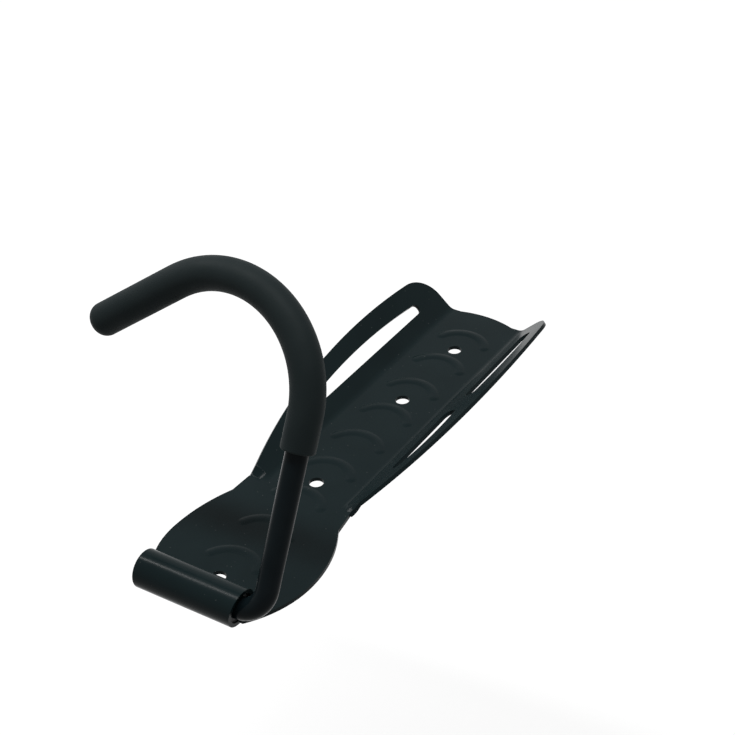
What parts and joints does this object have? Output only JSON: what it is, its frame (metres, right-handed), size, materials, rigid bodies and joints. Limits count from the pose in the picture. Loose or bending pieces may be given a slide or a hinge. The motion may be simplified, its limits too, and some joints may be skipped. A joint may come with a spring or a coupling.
{
  "type": "bicycle wall rack",
  "caption": "Wall plate of pressed steel with ribbed tyre channel and raised wings, and a rubber-sleeved rod hook that swings in a rolled barrel, to hang a bicycle by one wheel.",
  "frame": {"origin": "on the wall face of the plate, on its centre line, midway between the two screw holes nearest the barrel", "axes": "+X along the barrel's axis towards the hook's elbow, +Y along the plate away from the barrel, +Z out of the wall"},
  "size_m": [0.1306, 0.2775, 0.1428],
  "materials": {
    "plate_coat": "satin black powder coat",
    "rod_coat": "semi-gloss black coat",
    "sleeve_rubber": "matte black",
    "bush_nylon": "matte black",
    "clip_steel": "plain spring steel"
  },
  "bodies": {
    "base": {"base_plate": "plate_coat", "pivot_bush_left": "bush_nylon", "pivot_bush_right": "bush_nylon"},
    "hook": {"hook_rod": "rod_coat", "hook_sleeve": "sleeve_rubber", "retaining_clip": "clip_steel"}
  },
  "joints": [
    {"name": "hook_swing", "type": "hinge", "parent": "base", "child": "hook", "pos_m": [0, -0.0587, 0.0095], "axis": [1, 0, 0], "range_deg": [-54, 113]}
  ]
}
